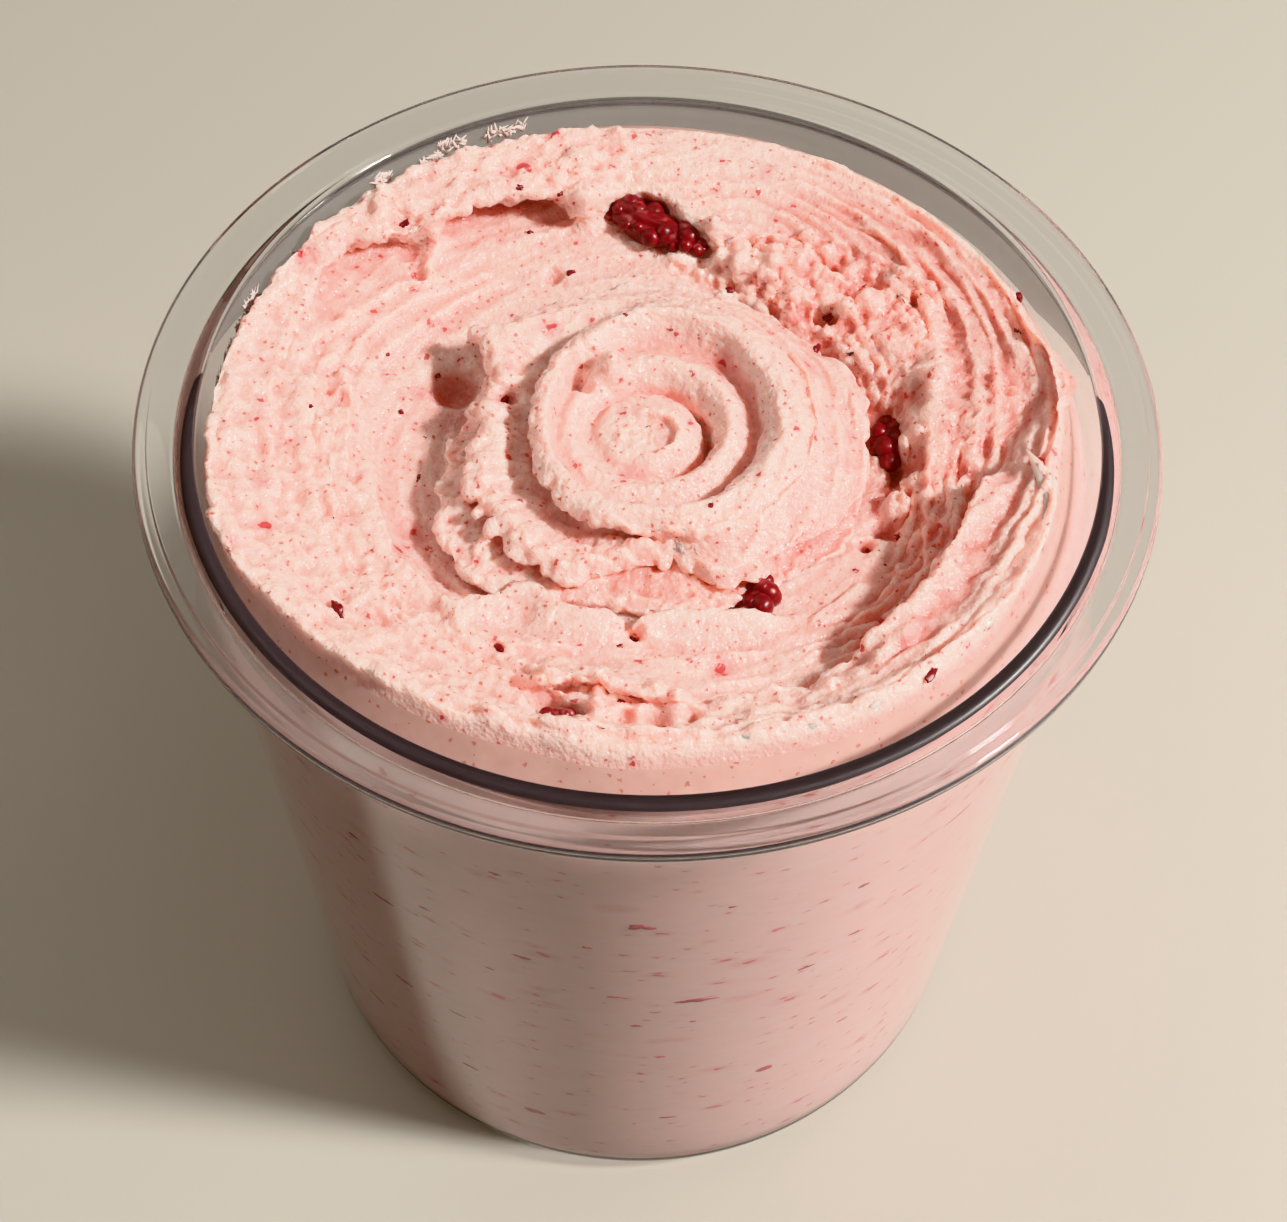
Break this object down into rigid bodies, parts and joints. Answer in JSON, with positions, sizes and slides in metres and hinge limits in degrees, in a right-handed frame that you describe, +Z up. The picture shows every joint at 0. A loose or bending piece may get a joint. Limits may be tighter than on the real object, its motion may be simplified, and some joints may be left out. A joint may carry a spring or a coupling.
{
  "type": "ice cream tub",
  "caption": "Clear plastic pint tub filled with churned berry ice cream, scraped into ridges round a swirled mound, with torn berry pieces",
  "frame": {"origin": "middle of the tub's foot, on the surface that it stands on", "axes": "+Z up along the tub's axis, -Y towards the viewer of the picture, +X to the viewer's right"},
  "size_m": [0.1, 0.1, 0.095],
  "materials": {
    "clear_plastic": "clear, glossy moulded plastic",
    "ice_cream": "pale pink frozen cream, softly glistening, with fine red specks",
    "berry": "wet dark red torn raspberry flesh"
  },
  "bodies": {
    "root": {"tub": "clear_plastic", "ice_cream": "ice_cream", "berry_back": "berry", "berry_right": "berry", "berry_front": "berry", "berry_crest": "berry"}
  },
  "joints": []
}
